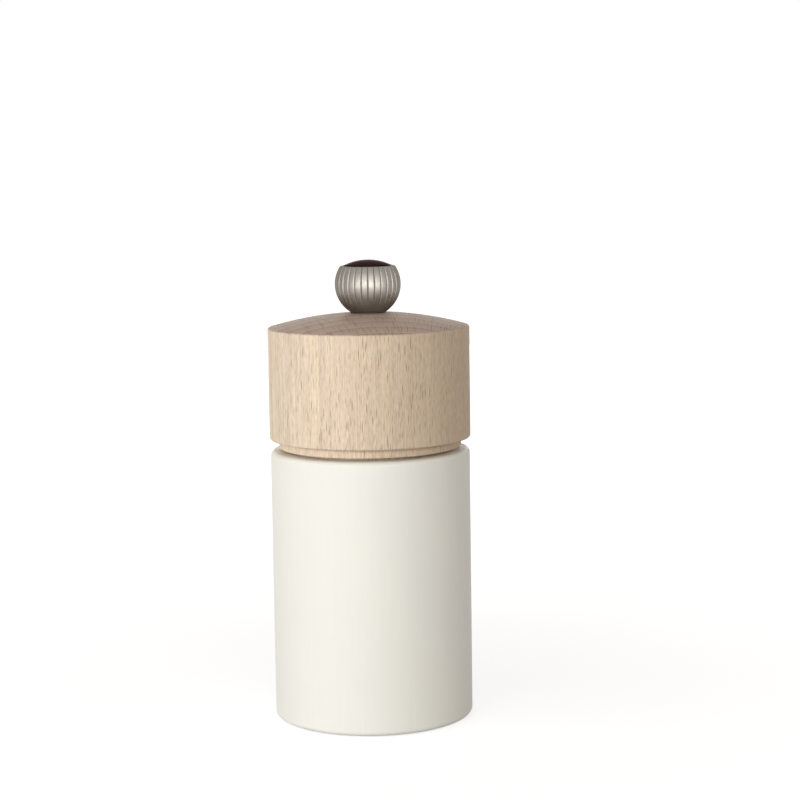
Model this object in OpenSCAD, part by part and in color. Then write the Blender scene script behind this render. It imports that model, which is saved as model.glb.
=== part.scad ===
// Salt mill with a twist-top head: a lacquered turned body, a turned beech head and a fluted steel knob.
// Twisting the head turns a square spindle and the grinding rotor.
// The knob's thread lifts the spindle to set the grind.
// Millimetres, +Z up, origin at the centre of the base.

/* [Body] */
// Outer diameter of the body
body_d = 52; // [50:0.5:60]
// Height of the body
body_h = 70.2; // [60:0.1:100]
// Rounding of the body's top and bottom edges
body_round = 1.2; // [0.5:0.1:2]
// Wall of the body round the salt chamber
body_wall = 8; // [7:0.1:9]
// Slope of the funnel between the chamber and the mill, in degrees from the axis
funnel_angle = 45; // [30:1:60]
// Wall of the body round the mouth that takes the head's spigot
mouth_wall = 5; // [4:0.1:6]
// Depth of the mouth below the body's rim
mouth_depth = 8; // [6:0.5:14]
// Rounding of the mouth's inner edge
mouth_round = 0.6; // [0.2:0.1:1]
// Thickness of the slip ring that the head turns on
slip_t = 1.2; // [0.8:0.1:2]

/* [Head] */
// How far the head's side stands proud of the body's
head_proud = 0.2; // [0:0.1:1]
// Height of the head's straight side
head_side_h = 28.9; // [22:0.1:45]
// Rise of the head's domed top above its side
dome_h = 3.7; // [2.5:0.1:6]
// Rounding of the head's edges
head_round = 0.5; // [0.2:0.1:1]
// How far the step under the head is set in from its side
step_in = 2.5; // [1:0.1:4]
// Height of the step under the head
step_h = 2.3; // [1:0.1:5]
// Shadow gap between the step and the body's rim
head_gap = 0.7; // [0.3:0.1:1.5]
// Radial clearance of the spigot in the mouth
spigot_clear = 0.4; // [0.2:0.05:0.8]
// Thickness of the drive plate
plate_t = 1.5; // [1:0.1:2.5]
// How far the drive plate is set in from the spigot
plate_in = 0.6; // [0.2:0.1:1]
// How far the drive plate's screws are set in from its edge
plate_screw_in = 7; // [4:0.5:10]
// Length of the guide sleeve at the top of the head
guide_h = 6; // [4:0.5:8]
// Wall of the guide sleeve
guide_wall = 1.6; // [1.5:0.1:3]

/* [Knob] */
// Diameter of the ball knob
knob_d = 17.1; // [16:0.1:20]
// Number of flutes round the knob
flute_count = 30; // [20:1:40]
// Width of a flute at the knob's waist
flute_w = 0.5; // [0.3:0.05:0.8]
// Depth of a flute
flute_depth = 0.22; // [0.1:0.02:0.3]
// Diameter of the domed insert on top of the knob
insert_d = 12.3; // [10:0.1:13]
// Width of the knob's rim round the domed insert
insert_rim = 0.95; // [0.6:0.05:1.4]
// Depth that the domed insert is let into the knob
insert_sink = 0.9; // [0.5:0.1:1.2]
// Straight edge of the domed insert above the knob
insert_edge = 0.25; // [0.05:0.05:0.4]
// Rise of the domed insert
insert_dome = 1.4; // [0.5:0.1:2.5]
// Thickness of the washer under the knob
washer_t = 0.8; // [0.6:0.1:1.2]
// Depth that the washer is let into the knob
washer_sink = 0.55; // [0.3:0.05:0.55]
// How far the washer is larger in radius than the knob's threaded insert
washer_over = 0.4; // [0.2:0.1:0.8]
// Width of the knob's rim round the washer
washer_rim = 0.6; // [0.4:0.1:1.2]
// Wall of the knob's threaded insert
nut_wall = 1.1; // [0.8:0.1:1.4]
// Metal between the threaded insert and the domed insert
nut_cover = 1; // [0.6:0.1:2]

/* [Spindle] */
// Width of the square spindle, which is also the diameter of its thread
spindle_w = 5; // [4.6:0.1:5.4]
// Pitch of the spindle's thread
thread_pitch = 0.8; // [0.7:0.1:1]
// Depth of the spindle's thread
thread_depth = 0.45; // [0.3:0.05:0.6]
// Turns of the knob each way from the middle grind
adjust_turns = 1; // [0.5:0.25:1.25]
// Step from the square to the journal under the rotor
journal_step = 0.3; // [0.2:0.05:0.4]
// Length of the journal below the bottom bar's top face
journal_reach = 2; // [1.6:0.1:2.2]
// Thickness of the clip under the rotor
clip_t = 1; // [0.6:0.1:1.4]
// How far the clip stands out from the journal
clip_w = 2; // [1.4:0.1:2.6]
// Depth of the clip's groove
clip_groove = 0.5; // [0.3:0.05:0.7]

/* [Mill] */
// Height of the bottom bar's screw heads above the base
foot_clear = 1.2; // [1:0.1:3]
// Height of a carrier screw's head
screw_head_h = 1.6; // [1.2:0.1:2.2]
// How far a carrier screw's head stands out from its shank
screw_head_w = 0.8; // [0.6:0.1:0.9]
// Diameter of a screw's shank
screw_d = 2.6; // [2:0.1:2.8]
// Length of a screw's shank in the wood
screw_bite = 8; // [5:0.5:12]
// Thickness of the bottom bar
bar_t = 1.2; // [0.8:0.1:2]
// Width of the bottom bar
bar_w = 7; // [6:0.2:9]
// How far the bottom bar's ends are set in from the carrier's flange
bar_in = 0.3; // [0.1:0.1:0.6]
// Width of the carrier's flange
flange_w = 4.8; // [4.4:0.1:5.4]
// Thickness of the carrier's flange
flange_t = 2.4; // [1.8:0.1:3]
// Wall of the carrier's sleeve round the grinding ring
sleeve_wall = 2.5; // [2:0.1:3]
// Outer diameter of the grinding ring
ring_d = 27; // [26:0.2:28]
// Height of the grinding ring
ring_h = 10; // [8:0.2:14]
// Wall of the grinding ring at its lower end
ring_low_wall = 2.3; // [2:0.1:3]
// Wall of the grinding ring at its upper end
ring_top_wall = 5.75; // [5:0.05:6]
// Height of the snap ring above the flange's underside
snap_set = 3.3; // [2.6:0.1:5]
// Thickness of the snap ring
snap_t = 1.2; // [0.8:0.1:1.6]
// Width of the snap ring inside its groove
snap_w = 1.1; // [0.8:0.1:1.3]
// Depth of the snap ring's groove
snap_groove = 0.8; // [0.5:0.1:1]
// Thickness of the lip that the grinding ring seats on
lip_t = 1.5; // [1.2:0.1:3]
// Width of the lip that the grinding ring seats on
lip_w = 1.3; // [0.8:0.1:2]
// How far the bridge is larger in radius than the grinding ring
bridge_step = 0.9; // [0.5:0.1:1.2]
// Thickness of the spindle bridge
bridge_t = 2.4; // [1.8:0.1:4]
// Wall of the bridge's hub
hub_wall = 1.4; // [1:0.1:2]
// Width of a bridge arm
bridge_arm_w = 3; // [2:0.1:4]
// Radial gap between the rotor and the grinding ring at the middle grind
grind_gap = 0.6; // [0.4:0.05:0.9]
// Distance of the rotor's lower end below the grinding ring
rotor_drop = 0.3; // [0:0.1:0.6]
// Distance of the rotor's upper end below the grinding ring's lip
rotor_recess = 0.9; // [0.5:0.1:1.2]
// Thickness of the rotor under the spring's pocket
rotor_floor = 3.3; // [2.5:0.1:4]
// Teeth round the grinding ring
ring_teeth = 24; // [16:1:32]
// Teeth round the rotor
rotor_teeth = 20; // [12:1:24]
// Width of a tooth groove
groove_w = 1.1; // [0.6:0.1:1.4]
// Lean of the tooth grooves, in degrees
groove_lean = 12; // [0:1:20]
// Number of feed notches in the grinding ring's upper edge
notch_count = 6; // [3:1:8]
// Width of a feed notch
notch_w = 3.2; // [2:0.1:4]
// Height of a feed notch
notch_h = 3.4; // [2:0.1:5]
// Depth of a feed notch
notch_depth = 1.4; // [0.8:0.1:2]

/* [Spring] */
// Wire of the spring
spring_wire = 0.8; // [0.6:0.05:0.9]
// Turns of the spring
spring_turns = 4.5; // [3:0.5:4.5]
// Room between the spindle's corners and the spring
spring_inside = 0.45; // [0.35:0.05:0.6]
// Room round the spring in the rotor's pocket
spring_outside = 0.35; // [0.2:0.05:0.5]
// Thickness of the seat washer under the spring
seat_t = 0.6; // [0.4:0.1:1]
// Wall of the spindle bush at the corners of its square hole
bush_wall = 0.9; // [0.7:0.1:1.2]
// Thickness of the flange on the spindle bush
bush_flange_t = 0.8; // [0.6:0.1:0.9]
// Width of the flange on the spindle bush
bush_flange_w = 0.9; // [0.6:0.1:1.2]

/* [Fits] */
// Radial gap of pieces that are pressed or screwed together
press_gap = 0.03; // [0.02:0.01:0.1]
// Radial gap of pieces that turn on each other
turn_gap = 0.06; // [0.04:0.01:0.1]
// Gap round the square spindle in the pieces that it drives
slide_gap = 0.1; // [0.05:0.01:0.15]
// Gap round the spindle where it passes through freely
pass_gap = 0.4; // [0.3:0.05:0.5]
// Room left past a piece at the end of its travel
end_gap = 0.4; // [0.3:0.05:0.6]

/* [Hidden] */
$fn = 96;
cut = 1;         // overshoot of cutting shapes, past the faces that they cut
arc_steps = 10;  // straight steps in a rounded edge
dome_steps = 24; // straight steps in a dome's profile

// Radii of the spindle and of the pieces on it
corner_r = spindle_w / sqrt(2);
thread_r = spindle_w / 2;
journal_r = spindle_w / 2 - journal_step;
pass_r = corner_r + pass_gap;
drive_w = spindle_w + 2 * slide_gap;
spring_r = corner_r + spring_inside + spring_wire / 2;
pocket_r = spring_r + spring_wire / 2 + spring_outside;
bush_r = drive_w / sqrt(2) + bush_wall;
guide_bore_r = thread_r + pass_gap;
guide_r = guide_bore_r + guide_wall;

// Radii of the mill
ring_r = ring_d / 2;
ring_low_r = ring_r - ring_low_wall;
ring_top_r = ring_r - ring_top_wall;
ring_slope = (ring_low_r - ring_top_r) / ring_h;
lip_r = ring_r - lip_w;
bridge_r = ring_r + bridge_step;
sleeve_r = ring_r + sleeve_wall;
flange_r = sleeve_r + flange_w;
screw_r = screw_d / 2;
screw_circle = sleeve_r + flange_w / 2;

// Radii of the body, the head and the knob
body_r = body_d / 2;
chamber_r = body_r - body_wall;
mouth_r = body_r - mouth_wall;
head_r = body_r + head_proud;
spigot_r = mouth_r - spigot_clear;
plate_r = spigot_r - plate_in;
ball_r = knob_d / 2;
insert_r = insert_d / 2;
nut_r = thread_r + nut_wall;
washer_r = nut_r + washer_over;
knob_base_r = washer_r + washer_rim;
knob_top_r = insert_r + insert_rim;

// Heights of the mill, from the base up
z_bar = foot_clear + screw_head_h;
z_flange = z_bar + bar_t;
z_seat = z_flange + flange_t;
z_snap = z_flange + snap_set;
z_ring = z_snap + snap_t;
z_lip = z_ring + ring_h;
z_bridge = z_lip + lip_t;
z_sleeve_top = z_bridge + bridge_t;
z_rotor = z_ring - rotor_drop;
z_rotor_top = z_lip - rotor_recess;
z_pocket = z_rotor + rotor_floor;
z_spring = z_pocket + seat_t;
z_bush = z_bridge - bush_flange_t;
z_journal = z_flange - journal_reach;

// Heights of the head and the knob
z_ledge = body_h - mouth_depth;
z_plate = z_ledge + slip_t;
z_spigot = z_plate + plate_t;
z_step = body_h + head_gap;
z_head = z_step + step_h;
z_shoulder = z_head + head_side_h;
z_apex = z_shoulder + dome_h;
dome_r = (pow(head_r, 2) + pow(dome_h, 2)) / (2 * dome_h);
dome_z = z_apex - dome_r;
spot_margin = 0.1; // flat ground on the dome, past the guide sleeve and the knob's base
spot_r = max(knob_base_r, guide_r) + spot_margin;
z_spot = dome_z + sqrt(pow(dome_r, 2) - pow(spot_r, 2));
z_knob = z_spot + washer_t - washer_sink;
z_ball = z_knob + sqrt(pow(ball_r, 2) - pow(knob_base_r, 2));
z_knob_top = z_ball + sqrt(pow(ball_r, 2) - pow(knob_top_r, 2));
z_insert = z_knob_top - insert_sink;
z_nut = z_knob + washer_sink;
z_nut_top = z_insert - nut_cover;

// The spindle's thread, with room for its travel each way
adjust_travel = adjust_turns * thread_pitch;
z_thread = z_spot - guide_h - adjust_travel - end_gap;
z_thread_top = z_nut_top - adjust_travel - end_gap;
screw_end_gap = 0.5; // air past the end of a screw in its pilot hole

// Points of an arc about [x, y] from angle a to angle b
function arc(x, y, r, a, b, steps = arc_steps) =
    [for (i = [0 : steps]) let (t = a + (b - a) * i / steps) [x + r * cos(t), y + r * sin(t)]];

// Radius of the grinding ring's bore at height z
function ring_bore(z) = ring_low_r - (z - z_ring) * ring_slope;

// A tube between two radii
module tube(z, h, outer, inner) {
    translate([0, 0, z]) difference() {
        cylinder(r = outer, h = h);
        translate([0, 0, -cut]) cylinder(r = inner, h = h + 2 * cut);
    }
}

// A square bar along the axis
module square_bar(z, h, w) {
    translate([-w / 2, -w / 2, z]) cube([w, w, h]);
}

// Leaning V grooves along a cone of the given radius at its middle height
module tooth_grooves(count, r, z, h, lean) {
    side = groove_w / sqrt(2);
    for (i = [0 : count - 1])
        rotate(i * 360 / count) translate([r, 0, z]) rotate([lean, -atan(ring_slope), 0])
            rotate(45) cube([side, side, h], center = true);
}

// Places its children at the carrier's four screws, the two along X carrying the bottom bar
module at_carrier_screws() {
    for (i = [0 : 3])
        rotate(i * 90) translate([screw_circle, 0, i % 2 == 0 ? z_bar : z_flange]) children();
}

// Places its children at the drive plate's screws
module at_plate_screws() {
    for (i = [0 : 2]) rotate(90 + i * 120) translate([plate_r - plate_screw_in, 0, z_plate]) children();
}

// Turned body with its foot recess, mill bore, funnel, chamber and mouth
module body_shell() {
    bore_r = sleeve_r + press_gap;
    recess_r = flange_r + press_gap;
    funnel_h = abs(chamber_r - bore_r) / tan(funnel_angle);
    color("ivory") difference() {
        rotate_extrude() polygon(concat(
            arc(body_r - body_round, body_round, body_round, -90, 0),
            arc(body_r - body_round, body_h - body_round, body_round, 0, 90),
            arc(mouth_r + mouth_round, body_h - mouth_round, mouth_round, 90, 180),
            [[mouth_r, z_ledge], [chamber_r, z_ledge], [chamber_r, z_sleeve_top + funnel_h]],
            [[bore_r, z_sleeve_top], [bore_r, z_seat], [recess_r, z_seat], [recess_r, 0]]
        ));
        at_carrier_screws() cylinder(r = screw_r + press_gap, h = bar_t + flange_t + screw_bite + cut);
    }
}

// Low-friction ring on the mouth's ledge, which carries the head clear of the rim
module slip_ring() {
    color("whitesmoke") tube(z_ledge, slip_t, mouth_r - press_gap, chamber_r + press_gap);
}

// Flanged carrier pressed up into the foot recess
module mill_carrier() {
    color("dimgray") difference() {
        union() {
            translate([0, 0, z_flange]) cylinder(r = flange_r, h = flange_t);
            translate([0, 0, z_flange]) cylinder(r = sleeve_r, h = z_sleeve_top - z_flange);
        }
        translate([0, 0, z_flange - cut]) cylinder(r = ring_r + press_gap, h = z_lip - z_flange + cut);
        translate([0, 0, z_snap]) cylinder(r = ring_r + snap_groove, h = snap_t);
        translate([0, 0, z_lip - cut]) cylinder(r = lip_r, h = lip_t + 2 * cut);
        translate([0, 0, z_bridge]) cylinder(r = bridge_r + press_gap, h = bridge_t + cut);
        at_carrier_screws() translate([0, 0, -cut])
            cylinder(r = screw_r + press_gap, h = bar_t + flange_t + 2 * cut);
    }
}

// Fixed grinding ring with a toothed cone and feed notches
module grinding_ring() {
    z_mid = z_ring + ring_h / 2;
    color("silver") difference() {
        translate([0, 0, z_ring]) cylinder(r = ring_r, h = ring_h);
        translate([0, 0, z_ring]) cylinder(r1 = ring_low_r, r2 = ring_top_r, h = ring_h);
        translate([0, 0, z_ring - cut]) cylinder(r = ring_low_r, h = cut);
        translate([0, 0, z_lip]) cylinder(r = ring_top_r, h = cut);
        tooth_grooves(ring_teeth, ring_bore(z_mid), z_mid, 2 * ring_h, groove_lean);
        for (i = [0 : notch_count - 1]) rotate((i + 0.125) * 360 / notch_count)
            translate([0, -notch_w / 2, z_lip - notch_h])
                cube([ring_top_r + notch_depth, notch_w, notch_h + cut]);
    }
}

// Snap ring that holds the grinding ring up against its lip
module ring_snap() {
    outer = ring_r + snap_groove - press_gap;
    inner = ring_r - snap_w;
    gap_w = 3;
    lug_r = 1;
    eye_r = 0.4;
    lug_y = gap_w / 2 + lug_r;
    lug_x = sqrt(pow(inner, 2) - pow(lug_y, 2));
    color("darkgray") difference() {
        union() {
            tube(z_snap, snap_t, outer, inner);
            for (s = [-1, 1]) translate([lug_x, s * lug_y, z_snap]) cylinder(r = lug_r, h = snap_t);
        }
        translate([0, -gap_w / 2, z_snap - cut]) cube([outer + cut, gap_w, snap_t + 2 * cut]);
        for (s = [-1, 1]) translate([lug_x, s * lug_y, z_snap - cut])
            cylinder(r = eye_r, h = snap_t + 2 * cut);
    }
}

// Three-armed bridge over the grinding ring, which guides the spindle bush
module spindle_bridge() {
    arm_l = (lip_r + bridge_r) / 2;
    color("dimgray") difference() {
        union() {
            tube(z_bridge, bridge_t, bridge_r, lip_r);
            translate([0, 0, z_bridge]) cylinder(r = bush_r + hub_wall, h = bridge_t);
            for (i = [0 : 2]) rotate(30 + i * 120)
                translate([0, -bridge_arm_w / 2, z_bridge]) cube([arm_l, bridge_arm_w, bridge_t]);
        }
        translate([0, 0, z_bridge - cut]) cylinder(r = bush_r + turn_gap, h = bridge_t + 2 * cut);
    }
}

// Bar across the outlet that carries the spindle's lower journal
module bottom_bar() {
    end_r = bar_w / 2;
    reach = flange_r - end_r - bar_in;
    color("silver") difference() {
        union() {
            translate([-reach, -end_r, z_bar]) cube([2 * reach, bar_w, bar_t]);
            for (s = [-1, 1]) translate([s * reach, 0, z_bar]) cylinder(r = end_r, h = bar_t);
        }
        translate([0, 0, z_bar - cut]) cylinder(r = journal_r + turn_gap, h = bar_t + 2 * cut);
        for (s = [-1, 1]) translate([s * screw_circle, 0, z_bar - cut])
            cylinder(r = screw_r + press_gap, h = bar_t + 2 * cut);
    }
}

// Pan-head screws that fix the bottom bar and the carrier to the body
module carrier_screws() {
    pan_r = screw_r + screw_head_w;
    crown = screw_head_h / 2;
    slot_w = 0.7;
    slot_l = pan_r * 1.1;
    slot_depth = 0.8;
    shank = flange_t + bar_t + screw_bite - screw_end_gap;
    color("silver") at_carrier_screws() difference() {
        union() {
            rotate_extrude() polygon(concat(
                [[0, 0], [pan_r, 0], [pan_r, -screw_head_h + crown]],
                arc(pan_r - crown, -screw_head_h + crown, crown, 0, -90), [[0, -screw_head_h]]
            ));
            cylinder(r = screw_r, h = shank);
        }
        for (a = [0, 90]) rotate(45 + a)
            translate([-slot_l / 2, -slot_w / 2, -screw_head_h - cut])
                cube([slot_l, slot_w, cut + slot_depth]);
    }
}

// Bush with a square hole: it turns in the bridge, and the spindle slides in it
module spindle_bush() {
    color("whitesmoke") difference() {
        union() {
            translate([0, 0, z_bush]) cylinder(r = bush_r + bush_flange_w, h = bush_flange_t);
            translate([0, 0, z_bush]) cylinder(r = bush_r, h = z_sleeve_top - z_bush);
        }
        square_bar(z_bush - cut, z_sleeve_top - z_bush + 2 * cut, drive_w);
    }
}

// Compression spring that presses the rotor down: one tube along a helix
spring_sides = 8;
spring_rings = 12;
spring_low = z_spring + spring_wire / 2 + press_gap;
spring_pitch = (z_bush - spring_wire / 2 - press_gap - spring_low) / spring_turns;

module spring() {
    count = spring_turns * spring_rings;
    wire_r = spring_wire / 2;
    points = [
        for (i = [0 : count], k = [0 : spring_sides - 1])
            let (
                t = i / spring_rings,
                b = 360 * k / spring_sides,
                r = spring_r + wire_r * cos(b)
            )
            [r * cos(360 * t), r * sin(360 * t), spring_low + spring_pitch * t + wire_r * sin(b)]
    ];
    function at(i, k) = i * spring_sides + k % spring_sides;
    sides = [
        for (i = [0 : count - 1], k = [0 : spring_sides - 1], half = [0, 1])
            half == 0
                ? [at(i, k), at(i, k + 1), at(i + 1, k)]
                : [at(i + 1, k), at(i, k + 1), at(i + 1, k + 1)]
    ];
    ends = [
        [for (k = [spring_sides - 1 : -1 : 0]) at(0, k)],
        [for (k = [0 : spring_sides - 1]) at(count, k)]
    ];
    color("lightgray") polyhedron(points, concat(sides, ends));
}

// Least gap between neighbouring turns of the spring
echo(spring_gap = spring_pitch - spring_wire);

// Square spindle with a thread at its top, and a journal and clip groove at its foot
module spindle() {
    core_r = thread_r - thread_depth;
    turns = floor((z_thread_top - z_thread) / thread_pitch);
    z_full = z_thread_top - turns * thread_pitch;
    color("gainsboro") union() {
        square_bar(z_rotor, z_thread - z_rotor, spindle_w);
        rotate_extrude() polygon(concat(
            [[0, z_thread - cut], [core_r, z_thread - cut], [core_r, z_full]],
            [for (i = [1 : 2 * turns]) [i % 2 == 1 ? thread_r : core_r, z_full + i * thread_pitch / 2]],
            [[0, z_thread_top]]
        ));
        difference() {
            translate([0, 0, z_journal]) cylinder(r = journal_r, h = z_rotor - z_journal + cut);
            tube(z_rotor - clip_t, clip_t, journal_r + cut, journal_r - clip_groove);
        }
    }
}

// Toothed rotor on the spindle's square, with a pocket for the spring
module grinding_rotor() {
    low_r = ring_bore(z_rotor) - grind_gap;
    top_r = ring_bore(z_rotor_top) - grind_gap;
    z_mid = (z_rotor + z_rotor_top) / 2;
    rotor_h = z_rotor_top - z_rotor;
    color("silver") difference() {
        translate([0, 0, z_rotor]) cylinder(r1 = low_r, r2 = top_r, h = rotor_h);
        square_bar(z_rotor - cut, rotor_h + 2 * cut, spindle_w + 2 * press_gap);
        translate([0, 0, z_pocket]) cylinder(r = pocket_r, h = z_rotor_top - z_pocket + cut);
        tooth_grooves(rotor_teeth, (low_r + top_r) / 2, z_mid, 2 * rotor_h, -groove_lean);
    }
}

// Washer in the rotor's pocket, under the spring
module spring_seat() {
    color("lightgray") difference() {
        translate([0, 0, z_pocket]) cylinder(r = pocket_r - slide_gap, h = seat_t);
        square_bar(z_pocket - cut, seat_t + 2 * cut, drive_w);
    }
}

// Clip in the journal's groove, which carries the rotor
module rotor_clip() {
    slot_r = journal_r - clip_groove + press_gap;
    clip_r = journal_r + clip_w;
    mouth = slot_r * 0.8;
    color("darkgray") difference() {
        tube(z_rotor - clip_t + press_gap, clip_t - 2 * press_gap, clip_r, slot_r);
        translate([0, -mouth, z_rotor - clip_t - cut]) cube([clip_r + cut, 2 * mouth, clip_t + 2 * cut]);
    }
}

// Turned head: spigot, step, straight side and domed top
module head() {
    step_r = head_r - step_in;
    step_round = head_round / 2;
    rim_x = head_r - head_round;
    rim_z = dome_z + sqrt(pow(dome_r - head_round, 2) - pow(rim_x, 2));
    rim_a = atan2(rim_z - dome_z, rim_x);
    color("burlywood") difference() {
        rotate_extrude() polygon(concat(
            [[0, z_spigot], [spigot_r, z_spigot], [spigot_r, z_step]],
            arc(step_r - step_round, z_step + step_round, step_round, -90, 0),
            [[step_r, z_head]],
            arc(rim_x, z_head + head_round, head_round, -90, 0),
            arc(rim_x, rim_z, head_round, 0, rim_a),
            arc(0, dome_z, dome_r, rim_a, acos(spot_r / dome_r), dome_steps),
            [[0, z_spot]]
        ));
        translate([0, 0, z_spigot - cut]) cylinder(r = pass_r, h = z_spot - z_spigot + 2 * cut);
        translate([0, 0, z_spot - guide_h]) cylinder(r = guide_r + press_gap, h = guide_h + cut);
        at_plate_screws() cylinder(r = screw_r + press_gap, h = plate_t + screw_bite + cut);
    }
}

// Steel plate under the head, with the square hole that drives the spindle
module drive_plate() {
    color("silver") difference() {
        translate([0, 0, z_plate]) cylinder(r = plate_r, h = plate_t);
        square_bar(z_plate - cut, plate_t + 2 * cut, drive_w);
        at_plate_screws() {
            translate([0, 0, -cut]) cylinder(r = screw_r + press_gap, h = plate_t + 2 * cut);
            cylinder(r1 = 2 * screw_r + press_gap, r2 = screw_r + press_gap, h = screw_r);
        }
    }
}

// Countersunk screws that fix the drive plate to the head
module plate_screws() {
    slot_w = 0.6;
    slot_depth = 0.6;
    color("silver") at_plate_screws() difference() {
        union() {
            cylinder(r1 = 2 * screw_r, r2 = screw_r, h = screw_r);
            cylinder(r = screw_r, h = plate_t + screw_bite - screw_end_gap);
        }
        for (a = [0, 90]) rotate(45 + a)
            translate([-screw_r, -slot_w / 2, -cut]) cube([2 * screw_r, slot_w, cut + slot_depth]);
    }
}

// Sleeve in the top of the head that guides the spindle's threaded end
module spindle_guide() {
    color("whitesmoke") tube(z_spot - guide_h, guide_h, guide_r, guide_bore_r);
}

// Low-friction washer let into the knob's underside
module knob_washer() {
    color("dimgray") tube(z_spot, washer_t, washer_r, guide_bore_r);
}

// Ball knob whose V flutes follow the meridians and fade out towards the base
knob_rows = 12;
flute_fade_low = -0.62;
flute_fade_high = -0.42;

// Each point's angle from the middle of its flute, and its share of the flute's depth
flute_half = asin(flute_w / 2 / ball_r);
flute_shape = [[-flute_half, 0], [0, 1], [flute_half, 0], [180 / flute_count, 0]];

// Share of the flute's depth at a height above the ball's centre, in ball radii
function flute_fade(h) =
    let (t = min(1, max(0, (h - flute_fade_low) / (flute_fade_high - flute_fade_low)))) t * t * (3 - 2 * t);

module fluted_ball() {
    samples = len(flute_shape);
    columns = flute_count * samples;
    low_a = asin((z_knob - z_ball) / ball_r);
    high_a = asin((z_knob_top - z_ball) / ball_r);
    rounds = [
        for (j = [0 : knob_rows], i = [0 : columns - 1])
            let (
                lat = low_a + (high_a - low_a) * j / knob_rows,
                point = flute_shape[i % samples],
                a = 360 * (floor(i / samples) + 0.5) / flute_count + point[0],
                r = (ball_r - flute_depth * point[1] * flute_fade(sin(lat))) * cos(lat)
            )
            [r * cos(a), r * sin(a), z_ball + ball_r * sin(lat)]
    ];
    function at(j, i) = j * columns + i % columns;
    sides = [
        for (j = [0 : knob_rows - 1], i = [0 : columns - 1], half = [0, 1])
            half == 0
                ? [at(j, i), at(j + 1, i), at(j, i + 1)]
                : [at(j + 1, i), at(j + 1, i + 1), at(j, i + 1)]
    ];
    middles = [[0, 0, z_knob], [0, 0, z_knob_top]];
    ends = [
        for (i = [0 : columns - 1], half = [0, 1])
            half == 0
                ? [at(0, i), at(0, i + 1), len(rounds)]
                : [at(knob_rows, i + 1), at(knob_rows, i), len(rounds) + 1]
    ];
    polyhedron(concat(rounds, middles), concat(sides, ends));
}

module knob() {
    color("silver") difference() {
        fluted_ball();
        translate([0, 0, z_knob - cut]) cylinder(r = washer_r + turn_gap, h = washer_sink + cut);
        translate([0, 0, z_knob]) cylinder(r = nut_r + press_gap, h = z_nut_top - z_knob);
        translate([0, 0, z_insert]) cylinder(r = insert_r + press_gap, h = insert_sink + cut);
    }
}

// Threaded insert pressed into the knob
module knob_nut() {
    color("goldenrod") tube(z_nut, z_nut_top - z_nut, nut_r, thread_r + turn_gap);
}

// Plain domed insert on top of the knob
module knob_insert() {
    cap_r = (pow(insert_r, 2) + pow(insert_dome, 2)) / (2 * insert_dome);
    cap_z = z_knob_top + insert_edge + insert_dome - cap_r;
    color("maroon") rotate_extrude() polygon(concat(
        [[0, z_insert], [insert_r, z_insert]],
        arc(0, cap_z, cap_r, acos(insert_r / cap_r), 90, dome_steps)
    ));
}

body_shell();
slip_ring();
mill_carrier();
grinding_ring();
ring_snap();
spindle_bridge();
bottom_bar();
carrier_screws();
spindle_bush();
spring();
spindle();
grinding_rotor();
spring_seat();
rotor_clip();
head();
drive_plate();
plate_screws();
spindle_guide();
knob_washer();
knob();
knob_nut();
knob_insert();
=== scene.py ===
"""Twist-top salt mill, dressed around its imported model: lacquered body, beech head, fluted knob and steel mill."""

import logging
import math
from collections.abc import Callable, Sequence
from dataclasses import dataclass, field
from enum import Enum
from functools import cache

import bpy
import numpy as np
from mathutils import Matrix, Vector


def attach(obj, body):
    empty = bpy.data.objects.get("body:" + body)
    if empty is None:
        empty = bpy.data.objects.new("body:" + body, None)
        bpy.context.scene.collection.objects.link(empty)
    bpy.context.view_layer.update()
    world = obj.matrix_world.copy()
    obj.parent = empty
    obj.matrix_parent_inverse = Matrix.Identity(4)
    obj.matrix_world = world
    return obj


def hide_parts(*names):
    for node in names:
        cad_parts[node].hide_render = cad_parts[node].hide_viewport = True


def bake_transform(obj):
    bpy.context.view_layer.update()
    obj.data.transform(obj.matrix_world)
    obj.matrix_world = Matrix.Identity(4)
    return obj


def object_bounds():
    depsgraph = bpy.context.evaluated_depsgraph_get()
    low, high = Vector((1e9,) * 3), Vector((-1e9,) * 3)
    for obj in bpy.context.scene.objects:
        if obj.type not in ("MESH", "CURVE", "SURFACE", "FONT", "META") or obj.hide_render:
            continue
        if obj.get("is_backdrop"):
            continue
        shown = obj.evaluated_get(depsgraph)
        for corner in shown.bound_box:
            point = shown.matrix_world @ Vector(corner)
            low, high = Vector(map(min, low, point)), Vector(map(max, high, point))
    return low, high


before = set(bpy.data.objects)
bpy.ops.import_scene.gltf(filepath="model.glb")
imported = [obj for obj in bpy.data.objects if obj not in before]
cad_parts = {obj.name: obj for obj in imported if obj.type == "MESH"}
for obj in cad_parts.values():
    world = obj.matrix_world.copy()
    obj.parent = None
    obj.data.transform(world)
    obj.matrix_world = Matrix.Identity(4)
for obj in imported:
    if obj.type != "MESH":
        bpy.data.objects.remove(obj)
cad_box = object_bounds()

logging.basicConfig(level=logging.INFO, format="%(message)s")
log = logging.getLogger("salt_mill")

MM = 0.001  # one millimetre, m
WELD = 1e-4  # points that round to the same step are one, mm
STRAIGHT = 1.56  # half angle from which a corner needs no arc, radians
PRESS = 0.03  # radial gap of pressed fits, mm
SLOPE = 0.345  # how fast the mill's cones narrow upwards
WHITE = (1.0, 1.0, 1.0)

Grid = np.ndarray
Corner = tuple[float, float, float]
Colour = tuple[float, float, float]
Socket = bpy.types.NodeSocket


# Profiles and grids


def even(columns: int) -> Grid:
    """Even angles round the axis, radians."""
    return np.arange(columns) * (2 * np.pi / columns)


def all_round(radius: Sequence[float], columns: int) -> Grid:
    """Rows by columns of radii, each row the same all round."""
    return np.repeat(np.asarray(radius, float)[:, None], columns, 1)


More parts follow.
